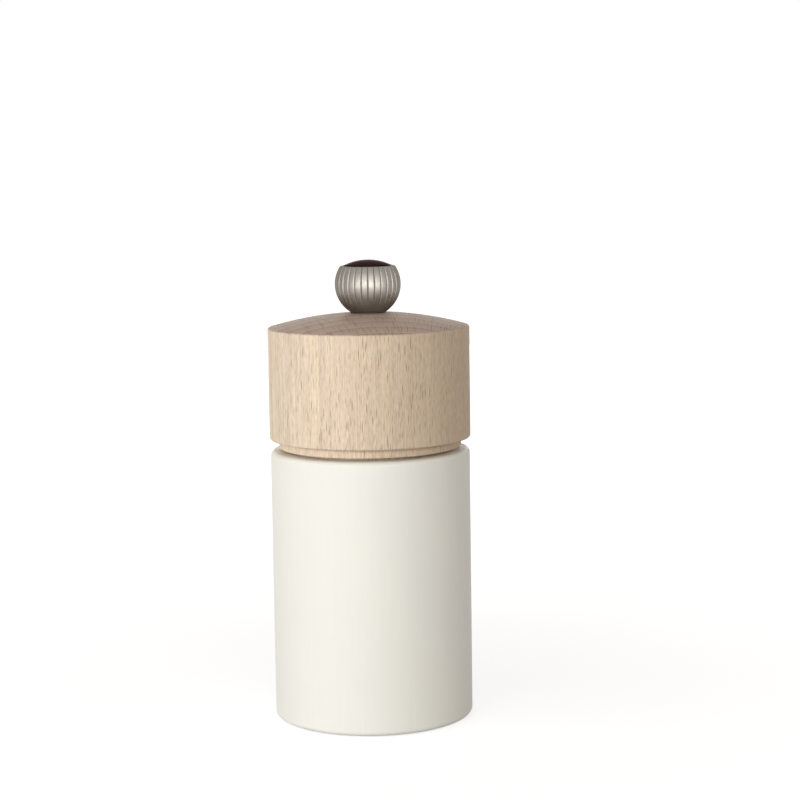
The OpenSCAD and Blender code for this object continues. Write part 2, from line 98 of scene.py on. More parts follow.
def smooth(value: Grid, low: float, high: float) -> Grid:
    """Smooth step from 0 at low to 1 at high: 3 t^2 - 2 t^3."""
    t = np.clip((value - low) / (high - low), 0, 1)
    return t * t * (3 - 2 * t)


def arc(x: float, z: float, r: float, start: float, end: float, steps: int) -> Grid:
    """Arc of a profile: [x + r cos t, z + r sin t], with t going from start to end.

    Args:
        x: Radius of the arc's centre, mm.
        z: Height of the arc's centre, mm.
        r: Radius of the arc, mm.
        start: First angle, degrees.
        end: Last angle, degrees.
        steps: Straight steps in the arc.

    Returns:
        Radius and height of each point.
    """
    t = np.radians(np.linspace(start, end, steps + 1))
    return np.stack([x + r * np.cos(t), z + r * np.sin(t)], -1)


def supported(profile: Grid, closed: bool, reach: float = 0.12) -> Grid:
    """Profile with a point added close to each end of its long straights, so that flats shade flat.

    Args:
        profile: Radius and height of each point.
        closed: Whether the last point joins the first.
        reach: Distance of an added point from its corner, mm.

    Returns:
        Radius and height of each point, the added ones among them.
    """
    step = np.roll(profile, -1, 0) - profile
    length = np.maximum(np.linalg.norm(step, axis=1, keepdims=True), 1e-9)
    near, far = profile + step / length * reach, profile + step - step / length * reach
    long = length[:, 0] > 4 * reach
    long[-1] &= closed
    keep = np.stack([np.ones_like(long), long, long], -1)
    return np.stack([profile, near, far], 1)[keep]


def rounded(corners: Sequence[Corner], closed: bool = True, steps: int = 6) -> Grid:
    """Profile through corners, each eased by an arc: centre + (sin((1 - t) w) a + sin(t w) b) / sin w.

    Args:
        corners: Radius, height and fillet of each corner, mm.
        closed: Whether the last corner joins the first.
        steps: Straight steps in each arc.

    Returns:
        Radius and height of each point.
    """
    points = np.array([c[:2] for c in corners])
    t = np.linspace(0, 1, steps + 1)[:, None]
    parts = []
    for i, (p, (_, _, fillet)) in enumerate(zip(points, corners)):
        u, v = points[i - 1] - p, points[(i + 1) % len(points)] - p
        u, v = u / np.linalg.norm(u), v / np.linalg.norm(v)
        half = 0.5 * math.acos(float(np.clip(u @ v, -1, 1)))
        if fillet == 0 or half > STRAIGHT:
            parts.append(p[None])
            continue
        centre = p + (u + v) / np.linalg.norm(u + v) * fillet / math.sin(half)
        a, b = (p + side * fillet / math.tan(half) - centre for side in (u, v))
        w = math.pi - 2 * half
        parts.append(centre + (np.sin((1 - t) * w) * a + np.sin(t * w) * b) / math.sin(w))
    return supported(np.concatenate(parts), closed)


def turned(radius: Grid, height: Grid, columns: int = 192, angle: Grid | None = None) -> Grid:
    """Turned grid: [r cos a, r sin a, z], with r and a given per point where the form isn't round.

    Args:
        radius: Radius of each row or point, mm.
        height: Height of each row, mm.
        columns: Points round the axis.
        angle: Angle of each point, radians; even steps where it is None.

    Returns:
        Rows by columns by 3 coordinates, mm.
    """
    shape = (len(height), columns)
    a = np.broadcast_to(even(columns) if angle is None else angle, shape)
    r = np.broadcast_to(radius if np.ndim(radius) == 2 else radius[:, None], shape)
    return np.stack([r * np.cos(a), r * np.sin(a), np.broadcast_to(height[:, None], shape)], -1)


def tube(path: Grid, across: Grid, wire: float, sides: int = 16) -> Grid:
    """Round wire carried along a path: path + wire (across cos b + binormal sin b), closed by a point at each end.

    Args:
        path: Points of the wire's centre line, mm.
        across: Unit vector across the path at each point.
        wire: Radius of the wire, mm.
        sides: Points round the wire.

    Returns:
        Rows by sides by 3 coordinates, mm.
    """
    tangent = np.gradient(path, axis=0)
    tangent /= np.linalg.norm(tangent, axis=1, keepdims=True)
    binormal = np.cross(tangent, across)
    b = even(sides)[None, :, None]
    ring = path[:, None] + wire * (across[:, None] * np.cos(b) + binormal[:, None] * np.sin(b))
    first, last = (np.repeat(path[i][None, None], sides, 1) for i in (0, -1))
    return np.concatenate([first, ring, last])


def plate(outlines: Sequence[Callable[[float], Grid]], low: float, high: float, edge: float) -> Grid:
    """Flat plate between two outlines, its four edges eased by arcs of the outlines' inset e (1 - sin t).

    Args:
        outlines: Give the outer outline and the hole's at an inset, columns by 2, mm.
        low: Height of the lower face, mm.
        high: Height of the upper face, mm.
        edge: Radius of the eased edges, mm.

    Returns:
        Rows by columns by 3 coordinates, mm, whose rows close.
    """
    t = np.linspace(0, np.pi / 2, 4)
    inset, drop = edge * (1 - np.sin(t)), edge * (1 - np.cos(t))
    up = [*zip(inset, low + drop), *zip(inset[::-1], high - drop[::-1])]
    rows = [(line(i), z) for line, side in zip(outlines, (up, up[::-1])) for i, z in side]
    return np.stack([np.column_stack([line, np.full(len(line), z)]) for line, z in rows])


def squared(half: float, columns: int, sharpness: float = 16.0) -> Grid:
    """Radius of a rounded square bar at each column: half / (|cos|^p + |sin|^p)^(1/p).

    Args:
        half: Half of the square's width, mm.
        columns: Points round the axis.
        sharpness: The power p; the more, the sharper the corners.

    Returns:
        Radius at each column, mm.
    """
    cos, sin = np.abs(np.cos(even(columns))), np.abs(np.sin(even(columns)))
    return half / (cos**sharpness + sin**sharpness) ** (1 / sharpness)


# Pieces


@dataclass
class Shell:
    """One closed surface of a piece, as a grid with rows along its profile and columns round it.

    Attributes:
        points: Rows by columns by 3 coordinates, mm.
        loop: Whether the rows close as well as the columns.
        paint: Index of the finish on each strip of faces between two rows.
        marks: Values that the finishes read, by name, one for each row or point.
    """

    points: Grid
    loop: bool = True
    paint: Grid | int = 0
    marks: dict[str, Grid] = field(default_factory=dict)

    def faces(self) -> Grid:
        """Four corners of each face, turned so that the surface's volume is positive.

        Returns:
            Indices of the points at each face's corners.
        """
        rows, columns = self.points.shape[:2]
        index = np.arange(rows * columns).reshape(rows, columns)
        index = np.hstack([index, index[:, :1]])
        index = np.vstack([index, index[:1]]) if self.loop else index
        quads = [index[:-1, :-1], index[:-1, 1:], index[1:, 1:], index[1:, :-1]]
        quads = np.stack(quads, -1).reshape(-1, 4)
        p = self.points.reshape(-1, 3)[quads]
        volume = sum(np.sum(p[:, 0] * np.cross(p[:, i], p[:, i + 1])) for i in (1, 2))
        return quads if volume > 0 else quads[:, ::-1]

    def strips(self) -> Grid:
        """Index of the finish on each face.

        Returns:
            An index for each face, in the order of the faces.
        """
        rows, columns = self.points.shape[:2]
        count = rows if self.loop else rows - 1
        return np.repeat(np.broadcast_to(self.paint, count), columns)

    def mark(self, name: str) -> Grid:
        """A mark's value at each point, 0 where the shell lacks it.

        Args:
            name: Name of the mark.

        Returns:
            A value for each point, in the order of the points.
        """
        value = np.asarray(self.marks.get(name, 0.0), float)
        value = value[:, None] if value.ndim == 1 else value
        return np.broadcast_to(value, self.points.shape[:2]).ravel()


def lathe(corners: Sequence[Corner], columns: int = 192, steps: int = 6) -> Shell:
    """Shell turned from a closed profile.

    Args:
        corners: Radius, height and fillet of each corner, mm.
        columns: Points round the axis.
        steps: Straight steps in each fillet.

    Returns:
        The shell.
    """
    r, z = rounded(corners, steps=steps).T
    return Shell(turned(r, z, columns))


def add_object(name: str, data: bpy.types.ID) -> bpy.types.Object:
    """Adds an object to the scene.

    Args:
        name: Name of the object.
        data: Its mesh, lamp or camera.

    Returns:
        The object.
    """
    thing = bpy.data.objects.new(name, data)
    bpy.context.scene.collection.objects.link(thing)
    return thing


@dataclass
class Piece:
    """A piece that stands for a CAD node.

    Attributes:
        name: Name of the object.
        node: CAD node that it stands for.
        body: CAD body that it rides on.
        shells: Its surfaces.
        finishes: Its materials, in the order of the shells' paint.
        sharp: Angle past which an edge shades sharp, degrees.
    """

    name: str
    node: str
    body: str
    shells: list[Shell]
    finishes: list["Finish"]
    sharp: float = 32.0

    def mesh(self) -> bpy.types.Mesh:
        """Mesh of all the shells: equal points are welded, and faces that lose a corner become triangles.

        Returns:
            The mesh, in metres, with its marks and materials.
        """
        starts = np.cumsum([0] + [s.points[..., 0].size for s in self.shells])
        points = np.concatenate([s.points.reshape(-1, 3) for s in self.shells])
        shell = np.repeat(np.arange(len(self.shells)), np.diff(starts))
        quads = np.concatenate([s.faces() + n for s, n in zip(self.shells, starts)])
        paint = np.concatenate([s.strips() for s in self.shells])
        keys = np.column_stack([np.round(points / WELD), shell]).astype(np.int64)
        _, first, place = np.unique(keys, axis=0, return_index=True, return_inverse=True)
        quads = place.reshape(-1)[quads]
        same = quads == np.roll(quads, -1, 1)
        whole, cut = same.sum(1) == 0, same.sum(1) == 1
        corners = quads[cut][~same[cut]].reshape(-1, 3)
        paint = np.concatenate([paint[whole], paint[cut]]).astype(np.int32)
        mesh = bpy.data.meshes.new(self.name)
        mesh.from_pydata((points[first] * MM).tolist(), [], quads[whole].tolist() + corners.tolist())
        for finish in self.finishes:
            mesh.materials.append(finish.material())
        mesh.polygons.foreach_set("material_index", paint)
        for name in sorted({n for s in self.shells for n in s.marks}):
            values = np.concatenate([s.mark(name) for s in self.shells])[first].astype(np.float32)
            mesh.attributes.new(name, "FLOAT", "POINT").data.foreach_set("value", values)
        mesh.shade_smooth()
        mesh.set_sharp_from_angle(angle=math.radians(self.sharp))
        mesh.update()
        return mesh

    def place(self) -> bpy.types.Object:
        """Puts the piece into the scene in its node's stead.

        Returns:
            Its object.
        """
        piece = add_object(self.name, self.mesh())
        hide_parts(self.node)
        log.info("%s: %d faces, for %s on %s", self.name, len(piece.data.polygons), self.node, self.body)
        return piece

    def build(self) -> bpy.types.Object:
        """Places the piece and lets it ride on its body."""
        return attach(self.place(), self.body)


# Finishes


class Tree:
    """A shader node tree, with short ways to fill it."""

    def __init__(self, owner: bpy.types.Material | bpy.types.World) -> None:
        """Empties a tree to fill it anew.

        Args:
            owner: Material or world whose tree it is.
        """
        owner.use_nodes = True
        self.tree = owner.node_tree
        self.tree.nodes.clear()

    def put(self, socket: Socket, value: object) -> None:
        """Links a socket to another one, or sets its own value.

        Args:
            socket: Input to fill.
            value: Another node's output, or a plain value.
        """
        if isinstance(value, Socket):
            self.tree.links.new(value, socket)
        else:
            socket.default_value = (*value, 1.0) if isinstance(value, tuple) and socket.type == "RGBA" else value

    def sockets(self, node: bpy.types.Node, **values: object) -> bpy.types.Node:
        """Puts values into a node's inputs.

        Args:
            node: Node to fill.
            values: Value of each input, whose name has _ for a space.

        Returns:
            The node.
        """
        for key, value in values.items():
            self.put(node.inputs[key.replace("_", " ")], value)
        return node

    def add(self, kind: str, *inputs: object, **settings: object) -> bpy.types.Node:
        """Adds a node of a kind with its settings and its first inputs.

        Args:
            kind: Kind of node, without the prefix that all kinds share.
            inputs: Values of its first inputs, in order.
            settings: Its settings, by name.

        Returns:
            The node.
        """
        node = self.tree.nodes.new("ShaderNode" + kind)
        for key, value in settings.items():
            setattr(node, key, value)
        for socket, value in zip(node.inputs, inputs):
            self.put(socket, value)
        return node

    def out(self, kind: str, *inputs: object, **settings: object) -> Socket:
        """First output of a node that is added."""
        return self.add(kind, *inputs, **settings).outputs[0]

    def math(self, operation: str, *values: object) -> Socket:
        """Result of a sum on up to three values."""
        return self.out("Math", *values, operation=operation)

    def times(self, a: object, b: object) -> Socket:
        """Product of two values."""
        return self.math("MULTIPLY", a, b)

    def ease(self, value: object, low: float, high: float, start: float = 0.0, end: float = 1.0) -> Socket:
        """Smooth step of a value from start at low to end at high."""
        return self.out("MapRange", value, low, high, start, end, interpolation_type="SMOOTHSTEP")

    def seen(self) -> Socket:
        """1 for rays that show the surroundings: from the camera, in a reflection or through glass.

        Returns:
            A value of 0 or 1.
        """
        path = self.add("LightPath").outputs
        shown = self.math("MAXIMUM", path["Is Camera Ray"], path["Is Glossy Ray"])
        return self.math("MAXIMUM", shown, path["Is Transmission Ray"])


class Graph(Tree):
    """A material's node tree, whose object coordinates are in millimetres."""

    def __init__(self, name: str) -> None:
        """Starts a material with its shader, output and coordinates.

        Args:
            name: Name of the material.
        """
        self.material = bpy.data.materials.new(name)
        super().__init__(self.material)
        self.shader = self.add("BsdfPrincipled")
        self.add("OutputMaterial", self.shader.outputs["BSDF"])
        place = self.add("VectorMath", self.add("TexCoord").outputs["Object"], operation="SCALE")
        self.sockets(place, Scale=1 / MM)
        self.x, self.y, self.z = self.add("SeparateXYZ", place.outputs[0]).outputs

    def length(self, x: object, y: object) -> Socket:
        """Length of a vector in the plane."""
        return self.math("SQRT", self.math("MULTIPLY_ADD", x, x, self.times(y, y)))

    def cells(self, x: object, y: object, z: object, size: tuple[float, float, float]) -> Socket:
        """Coordinates divided by a pattern's size along each of them."""
        return self.out("CombineXYZ", *(self.math("DIVIDE", v, s) for v, s in zip((x, y, z), size)))

    def spread(self, size: tuple[float, float, float]) -> Socket:
        """Object coordinates divided by a pattern's size along each axis, mm."""
        return self.cells(self.x, self.y, self.z, size)

    def noise(self, where: Socket, detail: float = 2.0, roughness: float = 0.5) -> Socket:
        """Noise about 0.5, with one feature to each unit of the coordinates."""
        node = self.add("TexNoise")
        return self.sockets(node, Vector=where, Scale=1.0, Detail=detail, Roughness=roughness).outputs["Fac"]

    def specks(self, where: Socket, space: str = "3D") -> tuple[Socket, Socket]:
        """Distance to the nearest of points scattered in a space, one to each unit, and its chance value."""
        node = self.sockets(self.add("TexVoronoi", voronoi_dimensions=space), Vector=where, Scale=1.0)
        return node.outputs["Distance"], self.out("SeparateColor", node.outputs["Color"])

    def mix(self, share: object, a: object, b: object, blend: str = "MIX") -> Socket:
        """Mix of two colours.

        Args:
            share: Share of the second colour.
            a: First colour.
            b: Second colour.
            blend: How they mix.

        Returns:
            The mixed colour.
        """
        node = self.add("Mix", data_type="RGBA", blend_type=blend)
        for socket, value in zip((node.inputs[0], node.inputs[6], node.inputs[7]), (share, a, b)):
            self.put(socket, value)
        return node.outputs[2]

    def mark(self, name: str) -> Socket:
        """Value of a mesh's mark."""
        return self.add("Attribute", attribute_name=name).outputs["Fac"]

    def dress(self, height: Socket, depth: float, **values: object) -> None:
        """Sets the shader's inputs and gives it a relief of a depth in millimetres."""
        relief = self.sockets(self.add("Bump"), Height=height, Distance=depth * MM, Strength=1.0)
        self.sockets(self.shader, Normal=relief.outputs[0], **values)


@dataclass(frozen=True)
class Finish:
    """A surface finish, made into a material once.

    Attributes:
        name: Name of the material.
        colour: Main colour, linear.
        roughness: Middle roughness.
    """

    name: str
    colour: Colour
    roughness: float

    @cache
    def material(self) -> bpy.types.Material:
        """The finish's material, made at its first use.

        Returns:
            The material.
        """
        graph = Graph(self.name)
        self.paint(graph)
        return graph.material

    def paint(self, graph: Graph) -> None:
        """Draws the finish in a node tree."""
        raise NotImplementedError

    def shade(self, factor: float) -> Colour:
        """The main colour times a factor."""
        return tuple(min(1.0, c * factor) for c in self.colour)

    def about(self, graph: Graph, value: Socket, low: float, high: float, less: float, more: float) -> Socket:
        """Roughness that goes from less under its middle to more over it as a value goes from low to high."""
        return graph.ease(value, low, high, self.roughness - less, self.roughness + more)


@dataclass(frozen=True)
class Lacquer(Finish):
    """Sprayed satin lacquer: faint peel, a little unevenness, and a thinner film at the mark "edge".

    Attributes:
        thin: Colour where the film is thin, linear.
        peel: Depth of the peel, mm.
    """

    thin: Colour = (0.8, 0.74, 0.6)
    peel: float = 0.004

    def paint(self, graph: Graph) -> None:
        """Draws uneven colour, roughness and peel.

        Args:
            graph: Node tree of the material.
        """
        cloud = graph.noise(graph.spread((17.0, 17.0, 23.0)), 3.0)
        fibre = graph.noise(graph.spread((1.1, 1.1, 19.0)), 3.0)
        tone = graph.math("MULTIPLY_ADD", fibre, 0.35, graph.times(cloud, 0.65))
        film = graph.mix(graph.ease(tone, 0.3, 0.7), self.shade(0.982), self.shade(1.012))
        rub = graph.times(graph.mark("edge"), graph.ease(cloud, 0.42, 0.75, 0.1, 0.5))
        graph.dress(
            graph.noise(graph.spread((0.5, 0.5, 0.5))),
            self.peel,
            Base_Color=graph.mix(rub, film, self.thin),
            Roughness=self.about(graph, tone, 0.25, 0.75, 0.05, 0.05),
            IOR=1.45,
            Specular_IOR_Level=0.12,
        )


@dataclass(frozen=True)
class Beech(Finish):
    """Beech as a solid: rings about a pith, rays that radiate from it, fibres along the axis, darker end grain, and a
    painted shade on the side grain towards +X.

    Attributes:
        late: Colour of the late wood, linear.
        blush: Colour of the pinker streaks, linear.
        ray: Colour of the rays, linear.
        end: Colour of the end grain, linear, at the mark "end_grain".
        pale: Tone of the palest fibres.
        dark: Tone of the darkest fibres.
        pith: Place of the pith, mm.
        ring: Width of a growth ring, mm.
        phase: Place of the first ring, in rings.
        tool: Share of turning marks, as on a bored surface.
    """

    late: Colour = (0.595, 0.462, 0.332)
    blush: Colour = (0.81, 0.66, 0.525)
    ray: Colour = (0.22, 0.105, 0.045)
    end: Colour = (0.48, 0.366, 0.315)
    pale: Colour = (1.06, 1.06, 1.07)
    dark: Colour = (0.855, 0.845, 0.83)
    pith: tuple[float, float] = (13.0, -100.0)
    ring: float = 4.9
    phase: float = 0.61
    tool: float = 0.0

    def paint(self, graph: Graph) -> None:
        """Draws the wood in coordinates round, out from and along the pith.

        Args:
            graph: Node tree of the material.
        """
        g, depth = graph, 0.03
        dx, dy = (g.math("SUBTRACT", v, p) for v, p in zip((g.x, g.y), self.pith))
        sway = g.math("SUBTRACT", g.noise(g.spread((13.0, 13.0, 60.0))), 0.5)
        lean = g.math("SUBTRACT", g.noise(g.spread((6.0, 6.0, 45.0))), 0.5)
        out = g.math("MULTIPLY_ADD", sway, 2.0, g.length(dx, dy))
        around = g.math("MULTIPLY_ADD", g.math("ARCTAN2", dx, dy), -self.pith[1], lean)
        radius = g.length(g.x, g.y)
        end = g.mark("end_grain")
        side = g.math("SUBTRACT", 1.0, end)

        turn = g.math("FRACT", g.math("SUBTRACT", g.math("DIVIDE", out, self.ring), self.phase))
        line = g.times(g.ease(turn, 0.5, 0.94), g.ease(turn, 1.0, 0.96))
        early = g.times(g.ease(turn, 0.0, 0.04), g.ease(turn, 0.16, 0.06))
        streak = g.noise(g.cells(around, out, g.z, (2.6, 6.0, 90.0)), 3.0)
        fine = g.noise(g.cells(around, out, g.z, (0.34, 0.8, 11.0)), 3.0, 0.6)
        late = g.times(line, g.math("MULTIPLY_ADD", end, 0.3, 0.3))
        # Painted shade: the side grain darkens towards +X, towards the late wood's colour.
        painted_side_shade = g.times(g.ease(g.x, -22.0, 22.0, 0.0, 0.8), side)

        wood = g.mix(g.ease(streak, 0.36, 0.64), self.colour, self.blush)
        grown = g.math("MULTIPLY_ADD", g.ease(fine, 0.42, 0.74), 0.5, g.times(late, 0.6))
        wood = g.mix(painted_side_shade, g.mix(grown, wood, self.late), self.late)
        cut = g.mix(g.ease(fine, 0.35, 0.7, 0.0, 0.4), self.end, self.late)
        cut = g.mix(g.times(late, 0.4), cut, self.ray)
        cut = g.mix(g.times(early, 0.75), cut, self.late)
        wood = g.mix(end, wood, cut)

        long, chance = g.specks(g.spread((0.36, 0.36, 6.5)))
        short, other = g.specks(g.spread((0.33, 0.33, 4.0)))
        dash, third = g.specks(g.cells(around, out, 0.0, (0.5, 17.0, 1.0)), "2D")
        bold = g.times(g.ease(long, 0.28, 0.14), g.ease(chance, 0.0, 0.9, 0.15, 1.0))
        faint = g.times(g.ease(short, 0.28, 0.14), g.ease(other, 0.1, 1.0, 0.1, 0.7))
        radial = g.times(g.ease(dash, 0.27, 0.12), g.ease(third, 0.1, 0.9, 0.15, 0.95))
        radial = g.times(radial, g.math("MULTIPLY_ADD", early, -0.7, 1.0))
        facing = g.math("DIVIDE", g.math("ABSOLUTE", g.y), radius)
        flecks = g.times(g.math("MAXIMUM", bold, faint), g.times(side, g.ease(facing, 0.2, 0.9, 0.45, 1.0)))
        rays = g.math("MULTIPLY_ADD", radial, end, flecks)
        wood = g.mix(g.times(rays, 0.8), wood, self.ray)

        fibre = g.noise(g.spread((0.28, 0.28, 1.7)), 3.0, 0.6)
        strand = g.noise(g.spread((0.3, 0.3, 40.0)))
        fibre = g.math("MULTIPLY_ADD", strand, 0.6, g.times(fibre, 0.8))
        wood = g.mix(1.0, wood, g.mix(g.ease(fibre, 0.5, 0.9), self.pale, self.dark), "MULTIPLY")
        scrape = g.noise(g.cells(radius, g.z, 0.0, (0.7, 0.45, 1.0)))
        wood = g.mix(g.times(g.ease(scrape, 0.4, 0.7), 0.3 * self.tool), wood, self.late)
        relief = g.math("MULTIPLY_ADD", rays, -0.9, g.times(fine, -0.5))
        g.dress(
            g.math("MULTIPLY_ADD", scrape, 1.5 * self.tool, relief),
            depth,
            Base_Color=wood,
            Roughness=self.about(g, fine, 0.2, 0.8, 0.05, 0.08),
            IOR=1.45,
            Specular_IOR_Level=0.15,
        )


class Grain(Enum):
    """Size of the fine lines that a tool leaves on metal along each coordinate, mm."""

    TURNED = (0.09, 0.09, 1.0)
    DRAWN = (0.1, 0.1, 9.0)
    BRUSHED = (8.0, 0.1, 0.1)
    BLASTED = (0.15, 0.15, 0.15)


@dataclass(frozen=True)
class Metal(Finish):
    """Metal with fine tool lines, broad smudges, and in the hollows at the mark "hollow" a higher roughness and a
    painted shade.

    Attributes:
        grain: Kind of the lines; turned ones lie round the axis.
        contrast: Strength of the lines in colour.
        depth: Depth of the lines, mm.
        tint: Colour at grazing angles, linear.
    """

    grain: Grain = Grain.TURNED
    contrast: float = 0.2
    depth: float = 0.004
    tint: Colour = WHITE

    def paint(self, graph: Graph) -> None:
        """Draws the lines in colour, roughness and relief.

        Args:
            graph: Node tree of the material.
        """
        if self.grain is Grain.TURNED:
            across = graph.cells(graph.length(graph.x, graph.y), graph.z, 0.0, self.grain.value)
        else:
            across = graph.spread(self.grain.value)
        lines = graph.noise(across, 3.0, 0.6)
        smudge = graph.noise(graph.spread((4.0, 4.0, 4.0)), 3.0)
        hollow = graph.mark("hollow")
        metal = graph.mix(graph.ease(lines, 0.25, 0.75), self.shade(1 - self.contrast), self.shade(1 + self.contrast))
        rough = self.about(graph, smudge, 0.3, 0.7, 0.05, 0.06)
        graph.dress(
            lines,
            self.depth,
            # Painted shade: the base colour darkens in the flute hollows.
            Base_Color=graph.mix(graph.ease(hollow, 0.3, 1.0, 0.0, 0.35), metal, self.shade(0.3)),
            Metallic=1.0,
            Roughness=graph.math("MULTIPLY_ADD", hollow, 0.1, rough),
            Specular_Tint=self.tint,
        )


@dataclass(frozen=True)
class Plastic(Finish):
    """Moulded plastic with a fine texture and faint flow clouds.

    Attributes:
        texture: Depth of the texture, mm.
    """

    texture: float = 0.01

    def paint(self, graph: Graph) -> None:
        """Draws the texture and the clouds.

        Args:
            graph: Node tree of the material.
        """
        cloud = graph.noise(graph.spread((5.0, 5.0, 8.0)), 3.0)
        grit = graph.noise(graph.spread((0.22, 0.22, 0.22)))
        graph.dress(
            grit,
            self.texture,
            Base_Color=graph.mix(graph.ease(cloud, 0.3, 0.7), self.shade(0.88), self.shade(1.08)),
            Roughness=self.about(graph, grit, 0.3, 0.7, 0.06, 0.08),
            IOR=1.48,
        )


@dataclass(frozen=True)
class GlossDome(Finish):
    """Dark polished insert: a deep colour with a painted reflection that is lighter and warmer towards the middle, a
    painted shade at the edge, faint polishing rings.

    Attributes:
        painted_reflection: Colour of the painted reflection in the middle, linear.
        tint: Colour at grazing angles, linear.
        rim: Radius at which the edge's painted shade is full, mm.
        polish: Depth of the polishing rings, mm.
    """

    painted_reflection: Colour = (0.085, 0.028, 0.027)
    tint: Colour = (0.3, 0.12, 0.11)
    rim: float = 6.12
    polish: float = 0.0015

    def paint(self, graph: Graph) -> None:
        """Draws the painted reflection, the clouds, the edge's painted shade and the polish.

        Args:
            graph: Node tree of the material.
        """
        radius = graph.length(graph.x, graph.y)
        cloud = graph.noise(graph.spread((2.6, 2.6, 2.6)), 3.0)
        # Painted reflection: the colour grows lighter and warmer towards the middle.
        deep = graph.times(graph.ease(radius, 5.6, 1.0), graph.ease(cloud, 0.3, 0.7, 0.4, 1.0))
        # Painted shade: the edge darkens to a fifth of the main colour.
        edge = graph.ease(radius, self.rim - 0.1, self.rim)
        graph.dress(
            graph.noise(graph.cells(radius, graph.z, 0.0, (0.12, 0.5, 1.0))),
            self.polish,
            Base_Color=graph.mix(edge, graph.mix(deep, self.colour, self.painted_reflection), self.shade(0.2)),
            Metallic=0.5,
            Roughness=self.about(graph, cloud, 0.3, 0.7, 0.03, 0.05),
            Specular_IOR_Level=0.02,
            Specular_Tint=self.tint,
        )


CREAM = Lacquer("cream_lacquer", (0.864, 0.846, 0.784), 0.45)
BEECH = Beech("beech", (0.835, 0.693, 0.516), 0.55)
BORED = Beech("bored_beech", (0.74, 0.6, 0.42), 0.62, tool=1.0)
KNOB_STEEL = Metal("knob_steel", (0.265, 0.245, 0.221), 0.46, Grain.TURNED, 0.05, 0.0006, (0.45, 0.41, 0.37))
MAROON = GlossDome("dark_gloss", (0.045, 0.016, 0.017), 0.14)
GRINDER = Metal("grinder_steel", (0.5, 0.5, 0.5), 0.34, Grain.BLASTED, 0.16, 0.008)
SHEET = Metal("sheet_steel", (0.5, 0.5, 0.49), 0.3, Grain.BRUSHED, 0.14)
TURNED_SHEET = Metal("turned_sheet_steel", (0.5, 0.5, 0.49), 0.32, Grain.TURNED, 0.16)
SPRING_WIRE = Metal("spring_steel", (0.42, 0.42, 0.43), 0.3, Grain.BLASTED, 0.12, 0.003)
ZINC = Metal("screw_steel", (0.54, 0.54, 0.55), 0.3, Grain.TURNED, 0.12)
BAR = Metal("spindle_aluminium", (0.56, 0.57, 0.58), 0.34, Grain.DRAWN, 0.12)
ACETAL = Plastic("white_acetal", (0.8, 0.8, 0.78), 0.42, 0.006)
NYLON = Plastic("black_nylon", (0.03, 0.03, 0.032), 0.5, 0.014)
BRASS = Metal("brass", (0.68, 0.49, 0.23), 0.28, Grain.TURNED, 0.12)


def dress_nodes(finishes: dict[str, Finish]) -> None:
    """Gives CAD nodes, which keep their shape, their finishes.

    Args:
        finishes: Finish for all of each node.
    """
    for node, finish in finishes.items():
        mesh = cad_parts[node].data
        mesh.materials.clear()
        mesh.materials.append(finish.material())
        log.info("%s: dressed in %s", node, finish.name)


# Sub-assemblies


@dataclass
class Teeth:
    """Leaning V grooves round a cone.

    Attributes:
        count: Number of grooves.
        lean: Lean of the grooves, degrees.
        sign: 1 for grooves cut outwards, -1 for grooves cut inwards.
        width: Width of a groove, mm; it is half as deep.
    """

    count: int
    lean: float
    sign: int
    width: float = 1.1

    def cut(self, cone: Grid, height: Grid) -> tuple[Grid, Grid]:
        """Radius cone + sign (w / 2 - |s|) in a groove, s being the arc from its middle, which leans with height.

        Args:
            cone: Radius of the cone at each row, mm.
            height: Height of each row, mm.

        Returns:
            Radius and angle of each point.
        """
        half, pitch = self.width / 2, 2 * np.pi / self.count
        across = np.linspace(-half, half, 5)
        groove = across[None, :] / cone[:, None]
        land = groove[:, -1:] + (pitch - 2 * groove[:, -1:]) * np.array([[0.25, 0.5, 0.75]])
        one = np.concatenate([groove, land], 1)
        drop = np.concatenate([half - np.abs(across), np.zeros(land.shape[1])])
        shift = -(height - height.mean()) * math.tan(math.radians(self.lean)) / cone.mean()
        angle = one[:, None, :] + (np.arange(self.count) * pitch)[None, :, None] + shift[:, None, None]
        radius = cone[:, None] + self.sign * np.tile(drop, self.count)[None, :]
        return radius, angle.reshape(len(height), -1)

    @staticmethod
    def shell(radius: Grid, angle: Grid, height: Grid, back: Sequence[tuple[float, float]], top: int) -> Shell:
        """Closed shell of a toothed side and of a plain back that goes from its top to its foot.

        Args:
            radius: Radius of each point of the toothed side, mm.
            angle: Angle of each point of the toothed side, radians.
            height: Height of each row of the toothed side, mm.
            back: Radius and height of each row of the back, mm.
            top: Rows of the back whose columns follow the side's top; the rest follow its foot.

        Returns:
            The shell.
        """
        back_r, back_z = np.transpose(back)
        columns = radius.shape[1]
        rows = [-1] * top + [0] * (len(back) - top)
        r, a = np.concatenate([radius, all_round(back_r, columns)]), np.concatenate([angle, angle[rows]])
        return Shell(turned(r, np.concatenate([height, back_z]), columns, a))


